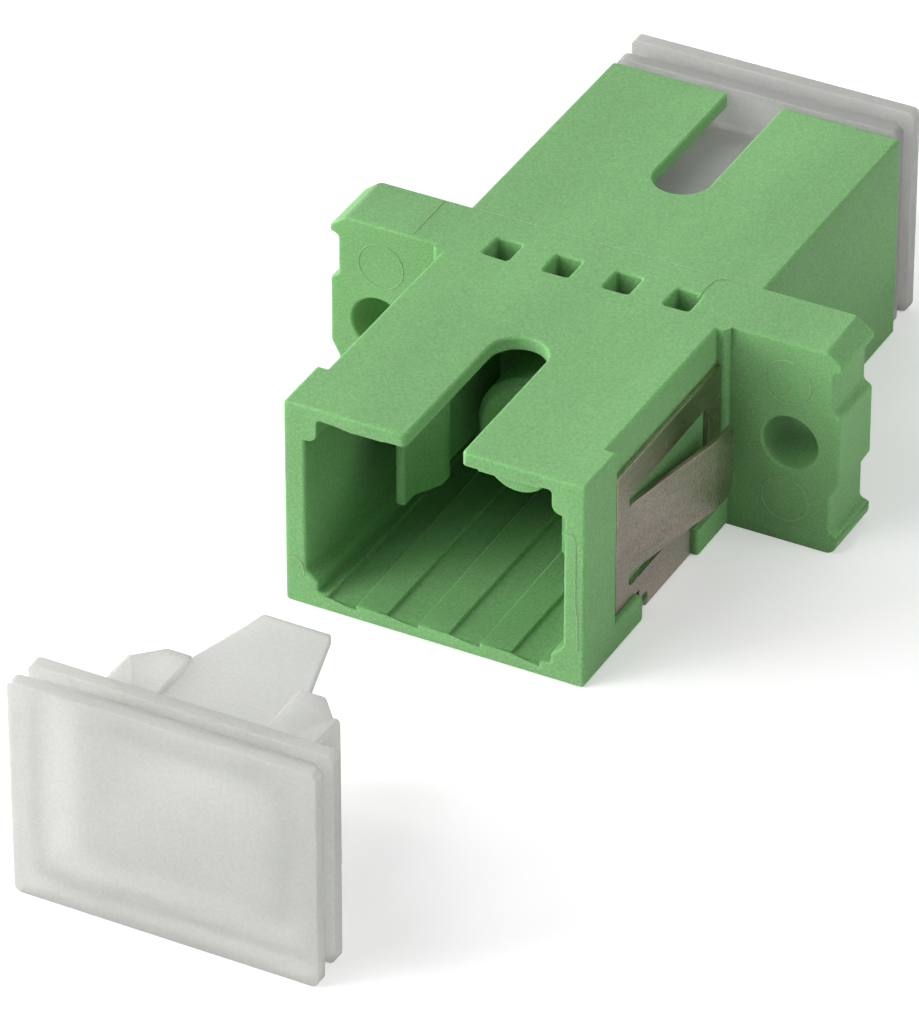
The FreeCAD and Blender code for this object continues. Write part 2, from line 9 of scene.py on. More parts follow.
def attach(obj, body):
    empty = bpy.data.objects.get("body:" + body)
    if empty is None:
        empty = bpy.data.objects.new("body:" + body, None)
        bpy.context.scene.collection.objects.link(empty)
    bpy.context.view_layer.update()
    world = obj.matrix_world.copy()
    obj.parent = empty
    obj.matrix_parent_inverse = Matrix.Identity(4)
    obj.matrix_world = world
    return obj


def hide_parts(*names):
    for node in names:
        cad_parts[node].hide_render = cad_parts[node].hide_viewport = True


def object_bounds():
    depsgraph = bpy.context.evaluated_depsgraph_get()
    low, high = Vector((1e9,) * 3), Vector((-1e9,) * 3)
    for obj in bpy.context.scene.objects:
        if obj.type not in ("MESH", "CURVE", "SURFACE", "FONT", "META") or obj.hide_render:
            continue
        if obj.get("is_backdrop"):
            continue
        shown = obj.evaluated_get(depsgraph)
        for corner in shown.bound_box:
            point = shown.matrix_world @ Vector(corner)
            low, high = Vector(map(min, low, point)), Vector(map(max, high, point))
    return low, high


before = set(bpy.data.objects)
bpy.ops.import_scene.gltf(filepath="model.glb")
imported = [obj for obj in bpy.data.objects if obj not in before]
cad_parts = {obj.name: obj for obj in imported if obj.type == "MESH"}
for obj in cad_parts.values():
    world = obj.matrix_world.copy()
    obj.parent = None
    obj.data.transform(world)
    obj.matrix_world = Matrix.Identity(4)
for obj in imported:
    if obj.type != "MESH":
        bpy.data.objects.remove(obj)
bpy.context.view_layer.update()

bl_info = {
    "name": "Fibre Adapter Finish",
    "version": (1, 0, 0),
    "blender": (4, 5, 0),
    "location": "View3D > Sidebar > Adapter",
    "description": "Surfaces, lights and camera for a flanged fibre adapter with dust caps",
    "category": "Object",
}

MM = 0.001


# ------------------------------------------------------------- settings

class PlasticSettings(bpy.types.PropertyGroup):
    """Green plastic of the housing and the latch holders"""
    housing_colour: FloatVectorProperty(
        name="Housing Colour", description="Body colour of the moulded housing",
        subtype="COLOR", size=4, min=0.0, max=1.0, default=(0.205, 0.43, 0.175, 1.0))
    holder_colour: FloatVectorProperty(
        name="Holder Colour", description="Body colour of the latch holders",
        subtype="COLOR", size=4, min=0.0, max=1.0, default=(0.195, 0.415, 0.165, 1.0))
    grain: FloatProperty(
        name="Grain", description="Width of the fine texture that the mould leaves",
        default=0.09 * MM, min=0.0, unit="LENGTH", precision=6)
    edge: FloatProperty(
        name="Edge", description="Radius of the moulded edges",
        default=0.15 * MM, min=0.0, unit="LENGTH", precision=6)


class MarkSettings(bpy.types.PropertyGroup):
    """Marks that the mould leaves on the housing"""
    ring_radius: FloatProperty(
        name="Pin Ring Radius", description="Radius of the ring that an ejector pin leaves",
        default=0.98 * MM, min=0.0, unit="LENGTH", precision=6)
    half_width: FloatProperty(
        name="Witness Half Width", description="Half the width, and the height, of each mark",
        default=0.026 * MM, min=0.0, unit="LENGTH", precision=6)
    # Painted highlight: the marks are coloured lighter than the housing, which lifts the shaded
    # side of each raised thread.
    lightness: FloatProperty(
        name="Lightness", description="How much lighter the marks are than the housing",
        default=1.3, min=0.0, soft_max=2.0, subtype="FACTOR")


class SleeveSettings(bpy.types.PropertyGroup):
    """Ceramic of the split sleeve"""
    colour: FloatVectorProperty(
        name="Ceramic Colour", description="Colour of the split sleeve's ceramic",
        subtype="COLOR", size=4, min=0.0, max=1.0, default=(0.88, 0.87, 0.84, 1.0))


class ClipSettings(bpy.types.PropertyGroup):
    """Steel of the spring clip"""
    colour: FloatVectorProperty(
        name="Steel Colour", description="Colour of the clip's rolled spring steel",
        subtype="COLOR", size=4, min=0.0, max=1.0, default=(0.49, 0.425, 0.36, 1.0))
    edge: FloatProperty(
        name="Edge", description="Radius of the stamped edges",
        default=0.03 * MM, min=0.0, unit="LENGTH", precision=6)


class CapSettings(bpy.types.PropertyGroup):
    """Translucent plastic of both dust caps"""
    plate_colour: FloatVectorProperty(
        name="Plate Colour", description="Colour of the dust caps' plates",
        subtype="COLOR", size=4, min=0.0, max=1.0, default=(0.74, 0.745, 0.72, 1.0))
    plug_colour: FloatVectorProperty(
        name="Plug Colour", description="Colour of the dust caps' plugs",
        subtype="COLOR", size=4, min=0.0, max=1.0, default=(0.82, 0.825, 0.8, 1.0))
    haze: FloatProperty(
        name="Haze", description="How far light spreads inside the caps",
        default=1.0 * MM, min=0.0, unit="LENGTH", precision=6)
    edge: FloatProperty(
        name="Edge", description="Radius of the caps' moulded edges",
        default=0.08 * MM, min=0.0, unit="LENGTH", precision=6)


class StageSettings(bpy.types.PropertyGroup):
    """Place and lens of the camera"""
    azimuth: FloatProperty(
        name="Azimuth", description="Turn of the camera about the upright",
        default=math.radians(27.6), subtype="ANGLE")
    elevation: FloatProperty(
        name="Elevation", description="Height angle of the camera",
        default=math.radians(34.56), subtype="ANGLE")
    distance: FloatProperty(
        name="Distance", description="Camera to the point that it looks at",
        default=301.5 * MM, unit="LENGTH")
    lens: FloatProperty(
        name="Lens", description="Focal length of the camera",
        default=279.8, min=1.0, unit="CAMERA")


# ------------------------------------------------------------- materials

NOISE_SPAN = (0.3, 0.7)          # nearly all of a noise texture lies in this span
UNIT_SPAN = (0.0, 1.0)
MIX_FACTOR, MIX_DARK, MIX_LIGHT, MIX_RESULT = 0, 6, 7, 2      # sockets of a colour mix


def new_material(name):
    """Node material, with its tree and its shader."""
    material = bpy.data.materials.new(name)
    material.use_nodes = True
    tree = material.node_tree
    return material, tree, tree.nodes["Principled BSDF"]


def add_node(tree, kind, **settings):
    """New node with its own settings, such as its operation."""
    node = tree.nodes.new(kind)
    for key, value in settings.items():
        setattr(node, key, value)
    return node


def set_inputs(node, values):
    """Set input sockets to constants, by name."""
    for name, value in values.items():
        node.inputs[name].default_value = value


def link_inputs(tree, node, sockets):
    """Link sockets of other nodes to input sockets, by name."""
    for name, socket in sockets.items():
        tree.links.new(socket, node.inputs[name])


def object_noise(tree, scale, detail=2.0, roughness=0.5, stretch=(1.0, 1.0, 1.0)):
    """Noise over the piece in its own coordinates; scale counts blotches in a metre."""
    where = add_node(tree, "ShaderNodeTexCoord")
    mapping = add_node(tree, "ShaderNodeMapping")
    noise = add_node(tree, "ShaderNodeTexNoise")
    set_inputs(mapping, {"Scale": stretch})
    set_inputs(noise, {"Scale": scale, "Detail": detail, "Roughness": roughness})
    tree.links.new(where.outputs["Object"], mapping.inputs["Vector"])
    tree.links.new(mapping.outputs["Vector"], noise.inputs["Vector"])
    return noise.outputs["Fac"]


def remap(tree, value, span, to_span):
    """A value carried from one span of numbers to another and held inside it."""
    node = add_node(tree, "ShaderNodeMapRange")
    set_inputs(node, {"From Min": span[0], "From Max": span[1],
                      "To Min": to_span[0], "To Max": to_span[1]})
    tree.links.new(value, node.inputs["Value"])
    return node.outputs["Result"]


def spread(tree, noise, to_span):
    """Noise carried to a span of numbers."""
    return remap(tree, noise, NOISE_SPAN, to_span)


def weighted_sum(tree, value, weight, rest):
    """A value times its weight, plus the rest."""
    node = add_node(tree, "ShaderNodeMath", operation="MULTIPLY_ADD")
    tree.links.new(value, node.inputs[0])
    node.inputs[1].default_value = weight
    tree.links.new(rest, node.inputs[2])
    return node.outputs[0]


def largest(tree, first, second):
    """The larger of two values."""
    node = add_node(tree, "ShaderNodeMath", operation="MAXIMUM")
    tree.links.new(first, node.inputs[0])
    tree.links.new(second, node.inputs[1])
    return node.outputs[0]


def tint(tree, factor, dark, light):
    """Colour between two tones, each a colour or the socket of one."""
    mix = add_node(tree, "ShaderNodeMix", data_type="RGBA")
    for number, tone in ((MIX_DARK, dark), (MIX_LIGHT, light)):
        if isinstance(tone, bpy.types.NodeSocket):
            tree.links.new(tone, mix.inputs[number])
        else:
            mix.inputs[number].default_value = tone
    tree.links.new(factor, mix.inputs[MIX_FACTOR])
    return mix.outputs[MIX_RESULT]


def shade(colour, factor):
    """The same hue, lighter or darker."""
    return tuple(channel * factor for channel in colour[:3]) + (1.0,)


def two_toned(tree, factor, colour, tones):
    """A colour between a darker and a lighter tone of its own hue."""
    dark, light = tones
    return tint(tree, factor, shade(colour, dark), shade(colour, light))


def bump(tree, height, depth, strength):
    """Surface relief of a small depth."""
    node = add_node(tree, "ShaderNodeBump")
    set_inputs(node, {"Strength": strength, "Distance": depth})
    tree.links.new(height, node.inputs["Height"])
    return node.outputs["Normal"]


# Each finish below: its darkest and lightest tone as parts of its colour, the span
# of its roughness and the depth of its relief. A share is the part of the tone that
# one of its textures gives.

PLASTIC_TONES = (0.72, 1.28)
PLASTIC_ROUGHNESS = (0.46, 0.6)
PLASTIC_RELIEF = 0.012 * MM
GRAIN_SHARE, FLOW_SHARE = 0.65, 0.35


def moulded_plastic(name, colour, grain):
    """Matt engineering plastic with a spark-eroded mould texture and faint flow marks."""
    material, tree, shader = new_material(name)
    flow = object_noise(tree, scale=160.0, stretch=(1.0, 0.35, 1.0))
    fine = object_noise(tree, scale=1.0 / grain, detail=3.0, roughness=0.6)
    tone = weighted_sum(tree, spread(tree, fine, UNIT_SPAN), GRAIN_SHARE,
                        spread(tree, flow, (0.0, FLOW_SHARE)))
    link_inputs(tree, shader, {
        "Base Color": two_toned(tree, tone, colour, PLASTIC_TONES),
        "Roughness": spread(tree, fine, PLASTIC_ROUGHNESS),
        "Normal": bump(tree, fine, PLASTIC_RELIEF, strength=0.6)})
    set_inputs(shader, {
        "Subsurface Weight": 0.5, "Subsurface Radius": (0.25, 1.0, 0.2),
        "Subsurface Scale": 0.5 * MM, "Specular IOR Level": 0.17})
    return material


STEEL_TONES = (0.5, 1.5)
STEEL_ROUGHNESS = (0.22, 0.3)
STEEL_RELIEF = 0.014 * MM
SPECK_SHARE = 0.5
ROLLING_SHARES = (0.17, 0.33)


def spring_steel(name, colour):
    """Cold-rolled strip: warm grey, with a fine stipple and faint rolling lines."""
    material, tree, shader = new_material(name)
    speck = object_noise(tree, scale=9000.0, detail=3.0, roughness=0.65)
    rolling = object_noise(tree, scale=1800.0, stretch=(1.0, 0.12, 1.0))
    cloud = object_noise(tree, scale=500.0)
    tone = weighted_sum(tree, spread(tree, speck, UNIT_SPAN), SPECK_SHARE,
                        spread(tree, rolling, ROLLING_SHARES))
    link_inputs(tree, shader, {
        "Base Color": two_toned(tree, tone, colour, STEEL_TONES),
        "Roughness": spread(tree, cloud, STEEL_ROUGHNESS),
        "Normal": bump(tree, speck, STEEL_RELIEF, strength=0.7)})
    set_inputs(shader, {"Metallic": 1.0})
    return material


CAP_ROUGHNESS = (0.78, 0.9)
CAP_RELIEF = 0.008 * MM
WAX_SHARE = 0.3
CLOUD_SHARES = (0.82, 0.88)
# Painted shade: the plates are coloured greyer towards their open rims.
RIM_SHADE_TONES = (1.0, 0.92)
# Painted shade: how far out the plates' rims start to turn grey, and where they are greyest.
RIM_SHADE_SPANS = {"X": (4.2 * MM, 6.1 * MM), "Z": (2.7 * MM, 4.6 * MM)}


def cap_plastic(name, plate_colour, plug_colour, turn, haze):
    """Thin translucent polyethylene: cloudy and waxy, with painted shade that greys the plates
    along their open rims.

    The plug's colour turns into the plates' along Y between the two places of turn."""
    material, tree, shader = new_material(name)
    fine = object_noise(tree, scale=7000.0, roughness=0.6)
    cloud = object_noise(tree, scale=330.0)
    where = add_node(tree, "ShaderNodeTexCoord")
    place = add_node(tree, "ShaderNodeSeparateXYZ")
    tree.links.new(where.outputs["Object"], place.inputs[0])
    rims = []
    for axis, span in RIM_SHADE_SPANS.items():
        far = add_node(tree, "ShaderNodeMath", operation="ABSOLUTE")
        tree.links.new(place.outputs[axis], far.inputs[0])
        rims.append(remap(tree, far.outputs[0], span, UNIT_SPAN))
    # Painted shade along the plates' rims.
    plates = two_toned(tree, largest(tree, *rims), plate_colour, RIM_SHADE_TONES)
    plated = remap(tree, place.outputs["Y"], turn, UNIT_SPAN)
    tone = weighted_sum(tree, fine, WAX_SHARE, spread(tree, cloud, CLOUD_SHARES))
    toned = add_node(tree, "ShaderNodeVectorMath", operation="SCALE")
    tree.links.new(tint(tree, plated, plug_colour, plates), toned.inputs[0])
    tree.links.new(tone, toned.inputs["Scale"])
    link_inputs(tree, shader, {
        "Base Color": toned.outputs[0],
        "Roughness": spread(tree, fine, CAP_ROUGHNESS),
        "Normal": bump(tree, fine, CAP_RELIEF, strength=0.5)})
    set_inputs(shader, {
        "Transmission Weight": 0.6, "IOR": 1.3, "Subsurface Weight": 0.9,
        "Subsurface Radius": (1.0, 1.0, 0.9), "Subsurface Scale": haze})
    return material


CERAMIC_TONES = (0.95, 1.03)
CERAMIC_ROUGHNESS = (0.12, 0.22)


def polished_ceramic(name, colour):
    """Ground zirconia: off-white, dense and glossy."""
    material, tree, shader = new_material(name)
    cloud = object_noise(tree, scale=900.0)
    link_inputs(tree, shader, {
        "Base Color": two_toned(tree, cloud, colour, CERAMIC_TONES),
        "Roughness": spread(tree, cloud, CERAMIC_ROUGHNESS)})
    set_inputs(shader, {"IOR": 2.1})
    return material


# ---------------------------------------------------------------- meshes

SEAM_GAP = 0.001 * MM            # corners nearer than this are one
SAME_PLANE = math.radians(0.5)   # faces that turn less than this are one
FLAT_ANGLE = math.radians(2)     # an edge that turns less than this is no crease
SHARP_ANGLE = math.radians(35)   # an edge that turns more than this is rounded
EDGE_SHARE = 0.42                # part of a narrow face that each edge beside it may take
BEND_SHARE = 0.6                 # part of a corner's own radius that its edge may take
LEAST_SHARE = 0.2                # part of the wanted radius below which an edge stays sharp
LEAST_RUN = 2                    # radii in length below which a run of edges stays sharp
MARK_STEP = 0.08 * MM            # between the marks that are set on every crease
LOOK_STEP = 0.3 * MM             # between the places where an edge looks for marks
LEVEL_GAP = 0.004 * MM           # a mark nearer to a face's plane than this lies on it
LEAST_DEPTH = 0.02 * MM          # a mark nearer than this belongs to the edge itself
ASIDE_SHARE = 0.5                # how far aside a mark may lie, as part of its depth
NORMAL_WEIGHT = 100              # shading follows the largest face at each corner
MAIN_SEGMENTS = 3                # steps of the housing's rounded edges
SMALL_SEGMENTS = 2               # steps of the other pieces' rounded edges


def new_piece(name, mesh, material, body):
    """Put a finished mesh in the scene as a piece that rides on a body."""
    piece = bpy.data.objects.new(name, mesh)
    bpy.context.scene.collection.objects.link(piece)
    mesh.materials.clear()
    mesh.materials.append(material)
    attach(piece, body)
    return piece


def finished_mesh(source, name):
    """Plain mesh of an object with its modifiers applied; the object is removed."""
    bpy.context.view_layer.update()
    graph = bpy.context.evaluated_depsgraph_get()
    mesh = bpy.data.meshes.new_from_object(source.evaluated_get(graph))
    mesh.name = name
    bpy.data.objects.remove(source)
    return mesh


def places_along(edge, step):
    """Evenly spread places on an edge, at most a step apart."""
    start, end = (vert.co for vert in edge.verts)
    count = max(1, math.ceil((end - start).length / step))
    return [start.lerp(end, (index + 0.5) / count) for index in range(count)]


def room_beside(loop, place, marks, reach):
    """Free width on a face beside one place of its edge, up to the reach."""
    face = loop.face
    along = (loop.link_loop_next.vert.co - loop.vert.co).normalized()
    inward = face.normal.cross(along)
    room = reach
    for mark, _, _ in marks.find_range(place, reach):
        offset = mark - place
        depth = offset.dot(inward)
        level = abs(offset.dot(face.normal)) < LEVEL_GAP
        if level and depth > LEAST_DEPTH and abs(offset.dot(along)) < ASIDE_SHARE * depth:
            room = min(room, depth)
    return room


def runs_on(edge, vert):
    """Edges that carry on from an edge past its end without a corner, each with its turn."""
    ahead = vert.co - edge.other_vert(vert).co
    turns = ((other, ahead.angle(other.other_vert(vert).co - vert.co))
             for other in vert.link_edges if other is not edge)
    return [(other, turn) for other, turn in turns if turn < SHARP_ANGLE]


def widest(edge, marks, reach):
    """Largest radius that an edge can take, from its own bend and the faces beside it."""
    bends = [edge.calc_length() / turn
             for vert in edge.verts for _, turn in runs_on(edge, vert) if turn > FLAT_ANGLE]
    rooms = [room_beside(loop, place, marks, reach)
             for loop in edge.link_loops for place in places_along(edge, LOOK_STEP)]
    return min([EDGE_SHARE * min(rooms)] + [BEND_SHARE * bend for bend in bends])


def crease_marks(creases):
    """Marks set along every crease, ready to be searched."""
    places = [place for edge in creases for place in places_along(edge, MARK_STEP)]
    marks = kdtree.KDTree(len(places))
    for index, place in enumerate(places):
        marks.insert(place, index)
    marks.balance()
    return marks


def weigh_edges(work, radius):
    """Give every sharp edge its part of the radius, the same all along a run of edges."""
    weight = work.edges.layers.float.new("bevel_weight_edge")
    creases = [edge for edge in work.edges if edge.calc_face_angle(0.0) > FLAT_ANGLE]
    marks = crease_marks(creases)
    left = {edge for edge in creases if edge.calc_face_angle(0.0) > SHARP_ANGLE}
    while left:
        run = [left.pop()]
        for edge in run:
            for vert in edge.verts:
                joined = [other for other, _ in runs_on(edge, vert) if other in left]
                run += joined
                left -= set(joined)
        share = min(widest(edge, marks, radius / EDGE_SHARE) for edge in run) / radius
        length = sum(edge.calc_length() for edge in run)
        if share > LEAST_SHARE and length > LEAST_RUN * radius:
            for edge in run:
                edge[weight] = share
    for edge in work.edges:
        edge.smooth = edge[weight] > 0.0 or edge.calc_face_angle(0.0) < SHARP_ANGLE


def merged_mesh(node, radius):
    """Copy of a CAD node's mesh, merged into whole faces and with its sharp edges weighed."""
    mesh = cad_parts[node].data.copy()
    work = bmesh.new()
    work.from_mesh(mesh)
    bmesh.ops.remove_doubles(work, verts=work.verts, dist=SEAM_GAP)
    bmesh.ops.dissolve_limit(work, angle_limit=SAME_PLANE, verts=work.verts,
                             edges=work.edges, delimit={"NORMAL"})
    weigh_edges(work, radius)
    work.to_mesh(mesh)
    work.free()
    for face in mesh.polygons:
        face.use_smooth = True
    return mesh


def eased_mesh(node, name, radius, segments):
    """Mesh of a CAD node with its sharp edges rounded."""
    source = bpy.data.objects.new(name, merged_mesh(node, radius))
    bpy.context.scene.collection.objects.link(source)
    ease = source.modifiers.new("Eased Edges", "BEVEL")
    ease.limit_method = "WEIGHT"
    ease.width = radius
    ease.segments = segments
    ease.use_clamp_overlap = False
    ease.miter_outer = "MITER_ARC"
    ease.loop_slide = True
    level = source.modifiers.new("Face Normals", "WEIGHTED_NORMAL")
    level.keep_sharp = True
    level.weight = NORMAL_WEIGHT
    return finished_mesh(source, name)


def dress(node, name, material, radius, body, segments=SMALL_SEGMENTS):
    """Stand a softened copy in for a CAD node."""
    piece = new_piece(name, eased_mesh(node, name, radius, segments), material, body)
    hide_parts(node)


# ----------------------------------------------------------- mould marks

FLANGE_FACE = -1.45 * MM         # the flange's front, along Y
PIN_ASIDE = 8.76 * MM
PIN_HEIGHTS = (2.73 * MM, -2.6 * MM)
PIN_PLACES = [(side * PIN_ASIDE, FLANGE_FACE, height)
              for side in (-1, 1) for height in PIN_HEIGHTS]

# Witness lines, each a run of points in millimetres. Those on the roof are given in
# X and Y: along the flange's rear edge, round its right-hand insert and across the
# left ear. Those on the mouth's rim are in X and Z, beside the mould inserts.
ROOF_HEIGHT = 4.55
ROOF_LINES = (
    ((-6.2, 1.47), (4.9, 1.47)),
    ((4.3, -0.25), (4.3, 0.75), (4.36, 1.1), (4.55, 1.36), (4.9, 1.47), (6.2, 1.5)),
    ((-7.43, -1.3), (-7.46, 1.3)),
)
MOUTH_FACE = -13.75
MOUTH_LINES = (
    ((5.43, 2.26), (5.88, 2.28), (5.97, 1.88), (5.98, -0.84), (6.08, -1.54), (6.09, -2.9)),
    ((-6.2, -2.52), (-5.88, -2.49), (-5.62, -2.67), (-5.53, -3.2)),
)
THREAD_SIDES = 8
RING_STEPS = 96


def mark_tree(name, sizes):
    """Empty node tree whose inputs are the geometry, the named sizes and the finish."""
    tree = bpy.data.node_groups.new(name, "GeometryNodeTree")
    sockets = tree.interface
    sockets.new_socket("Geometry", in_out="INPUT", socket_type="NodeSocketGeometry")
    for size in sizes:
        sockets.new_socket(size, in_out="INPUT", socket_type="NodeSocketFloat")
    sockets.new_socket("Finish", in_out="INPUT", socket_type="NodeSocketMaterial")
    sockets.new_socket("Geometry", in_out="OUTPUT", socket_type="NodeSocketGeometry")
    return tree, add_node(tree, "NodeGroupInput")


def swept(tree, group, curve):
    """Round thread of the half width along a curve."""
    profile = add_node(tree, "GeometryNodeCurvePrimitiveCircle")
    set_inputs(profile, {"Resolution": THREAD_SIDES})
    sweep = add_node(tree, "GeometryNodeCurveToMesh")
    set_inputs(sweep, {"Fill Caps": True})
    tree.links.new(group.outputs["Half Width"], profile.inputs["Radius"])
    tree.links.new(curve, sweep.inputs["Curve"])
    tree.links.new(profile.outputs["Curve"], sweep.inputs["Profile Curve"])
    return sweep.outputs["Mesh"]


def close_tree(tree, group, geometry):
    """End a tree in real, smooth-shaded geometry with its finish."""
    real = add_node(tree, "GeometryNodeRealizeInstances")
    smooth = add_node(tree, "GeometryNodeSetShadeSmooth")
    finish = add_node(tree, "GeometryNodeSetMaterial")
    output = add_node(tree, "NodeGroupOutput")
    tree.links.new(geometry, real.inputs["Geometry"])
    tree.links.new(real.outputs["Geometry"], smooth.inputs["Geometry"])
    tree.links.new(smooth.outputs["Geometry"], finish.inputs["Geometry"])
    tree.links.new(group.outputs["Finish"], finish.inputs["Material"])
    tree.links.new(finish.outputs["Geometry"], output.inputs["Geometry"])
    return tree


def pin_ring_tree():
    """A thin ring in the XZ plane round every point."""
    tree, group = mark_tree("pin_rings", ("Ring Radius", "Half Width"))
    circle = add_node(tree, "GeometryNodeCurvePrimitiveCircle")
    set_inputs(circle, {"Resolution": RING_STEPS})
    tree.links.new(group.outputs["Ring Radius"], circle.inputs["Radius"])
    stand = add_node(tree, "GeometryNodeInstanceOnPoints")
    set_inputs(stand, {"Rotation": (math.radians(90), 0.0, 0.0)})
    tree.links.new(group.outputs["Geometry"], stand.inputs["Points"])
    tree.links.new(swept(tree, group, circle.outputs["Curve"]), stand.inputs["Instance"])
    return close_tree(tree, group, stand.outputs["Instances"])


def witness_line_tree():
    """A thin thread along every chain of edges."""
    tree, group = mark_tree("witness_lines", ("Half Width",))
    curve = add_node(tree, "GeometryNodeMeshToCurve")
    tree.links.new(group.outputs["Geometry"], curve.inputs["Mesh"])
    return close_tree(tree, group, swept(tree, group, curve.outputs["Curve"]))


def witness_chains():
    """Points of all the witness lines, and the edges that join each line's points."""
    lines = [[(x, y, ROOF_HEIGHT) for x, y in line] for line in ROOF_LINES]
    lines += [[(x, MOUTH_FACE, z) for x, z in line] for line in MOUTH_LINES]
    points, edges = [], []
    for line in lines:
        first = len(points)
        points += [Vector(point) * MM for point in line]
        edges += [(index, index + 1) for index in range(first, len(points) - 1)]
    return points, edges


def grown(name, points, edges, tree, values):
    """Mesh that a node tree grows from points and edges, with its inputs set by name."""
    seed = bpy.data.meshes.new(name)
    seed.from_pydata(points, edges, [])
    source = bpy.data.objects.new(name, seed)
    bpy.context.scene.collection.objects.link(source)
    growth = source.modifiers.new(name, "NODES")
    growth.node_group = tree
    for socket in tree.interface.items_tree:
        if socket.in_out == "INPUT" and socket.name in values:
            growth[socket.identifier] = values[socket.name]
    return finished_mesh(source, name)


# ----------------------------------------------------------------- stage

# Lamps round the part: azimuth and elevation in degrees, side of the square in
# millimetres and power in watts. Azimuth 0 is in front and +90 to the right.
LAMPS = (
    ("key_lamp", -50.0, 20.0, 200.0, 1.16),
    ("high_lamp", -34.0, 47.0, 200.0, 0.55),
    ("left_lamp", -95.0, 20.0, 200.0, 0.88),
    ("right_lamp", 95.0, 35.0, 200.0, 0.4),
    ("back_lamp", -152.0, 35.0, 260.0, 0.17),
)
LAMP_AIM = Vector((0.0, -10.0, 0.0)) * MM
LAMP_DISTANCE = 400 * MM
CAMERA_AIM = Vector((-0.48, -10.70, -0.58)) * MM
SENSOR_WIDTH = 36.0              # in millimetres, as the lens is
CLIP_START = 10 * MM
FLOOR_HALF = 280 * MM
PAPER_COLOUR = (0.82, 0.82, 0.82, 1.0)
WHITE = (1.0, 1.0, 1.0, 1.0)
WORLD_LEVEL = 0.24               # strength of the surroundings as a light
FLOOR_GLOW = 0.35                # what is added to the lit paper to show it as white
MIRROR_SHARE = 0.22              # how much of that a mirrored ray sees


def direction(azimuth, elevation):
    """Unit vector from the part towards a place given by its two angles."""
    return Vector((math.sin(azimuth) * math.cos(elevation),
                   -math.cos(azimuth) * math.cos(elevation),
                   math.sin(elevation)))


def placed(name, data, aim, back, distance):
    """Put a lamp or a camera back from the point that it looks at."""
    holder = bpy.data.objects.new(name, data)
    bpy.context.scene.collection.objects.link(holder)
    holder.location = aim + back * distance
    holder.rotation_euler = (-back).to_track_quat("-Z", "Y").to_euler()
    return holder


def soft_lamp(name, azimuth, elevation, side, power):
    """Square soft light that looks at the part."""
    lamp = bpy.data.lights.new(name, "AREA")
    lamp.shape = "SQUARE"
    lamp.size = side * MM
    lamp.energy = power
    back = direction(math.radians(azimuth), math.radians(elevation))
    placed(name, lamp, LAMP_AIM, back, LAMP_DISTANCE)


def seen_by_rays(tree):
    """One for camera rays and rays through clear plastic, part of it for mirrored rays."""
    path = add_node(tree, "ShaderNodeLightPath")
    seen = largest(tree, path.outputs["Is Camera Ray"], path.outputs["Is Transmission Ray"])
    return weighted_sum(tree, path.outputs["Is Glossy Ray"], MIRROR_SHARE, seen)


def paper_white(name):
    """White paper that keeps a soft shadow and shows as white behind the part."""
    material, tree, shader = new_material(name)
    set_inputs(shader, {"Base Color": PAPER_COLOUR, "Roughness": 0.9, "Specular IOR Level": 0.1})
    strength = add_node(tree, "ShaderNodeMath", operation="MULTIPLY")
    tree.links.new(seen_by_rays(tree), strength.inputs[0])
    strength.inputs[1].default_value = FLOOR_GLOW
    glow = add_node(tree, "ShaderNodeEmission")
    tree.links.new(strength.outputs[0], glow.inputs["Strength"])
    both = add_node(tree, "ShaderNodeAddShader")
    tree.links.new(shader.outputs[0], both.inputs[0])
    tree.links.new(glow.outputs[0], both.inputs[1])
    tree.links.new(both.outputs[0], tree.nodes["Material Output"].inputs["Surface"])
    return material


def studio_world():
    """Even pale surroundings that the camera sees as white."""
    world = bpy.data.worlds.new("studio_world")
    world.use_nodes = True
    bpy.context.scene.world = world
    tree = world.node_tree
    background = tree.nodes["Background"]
    set_inputs(background, {"Color": WHITE})
    strength = remap(tree, seen_by_rays(tree), UNIT_SPAN, (WORLD_LEVEL, 1.0))
    tree.links.new(strength, background.inputs["Strength"])


def paper_floor(height):
    """Square sheet of white paper under the part."""
    mesh = bpy.data.meshes.new("floor")
    corners = [(-1, -1), (1, -1), (1, 1), (-1, 1)]
    mesh.from_pydata([(x * FLOOR_HALF, y * FLOOR_HALF, height) for x, y in corners], [],
                     [(0, 1, 2, 3)])
    mesh.materials.append(paper_white("floor_paper"))
    floor = bpy.data.objects.new("floor", mesh)
    bpy.context.scene.collection.objects.link(floor)
    floor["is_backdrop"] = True


# ------------------------------------------------------------- operators

class ADAPTER_OT_housing(bpy.types.Operator):
    """Give the moulded housing its eased edges and matt green plastic"""
    bl_idname = "adapter.housing"
    bl_label = "Housing"

    def execute(self, context):
        plastic = context.scene.adapter_plastic
        green = moulded_plastic("green_housing_plastic", plastic.housing_colour, plastic.grain)
        dress("housing", "moulded_housing", green, plastic.edge, "adapter",
              segments=MAIN_SEGMENTS)
        return {"FINISHED"}


class ADAPTER_OT_mould_marks(bpy.types.Operator):
    """Raise the ejector-pin rings and the witness lines on the housing"""
    bl_idname = "adapter.mould_marks"
    bl_label = "Mould Marks"

    def execute(self, context):
        marks = context.scene.adapter_mark
        plastic = context.scene.adapter_plastic
        # Painted highlight: the marks' plastic is a lighter shade of the housing's colour.
        green = moulded_plastic("raised_mark_plastic",
                                shade(plastic.housing_colour, marks.lightness), plastic.grain)
        values = {"Ring Radius": marks.ring_radius, "Half Width": marks.half_width,
                  "Finish": green}
        points, edges = witness_chains()
        rings = grown("pin_rings", PIN_PLACES, [], pin_ring_tree(), values)
        lines = grown("witness_lines", points, edges, witness_line_tree(), values)
        new_piece("pin_rings", rings, green, "adapter")
        new_piece("witness_lines", lines, green, "adapter")
        return {"FINISHED"}


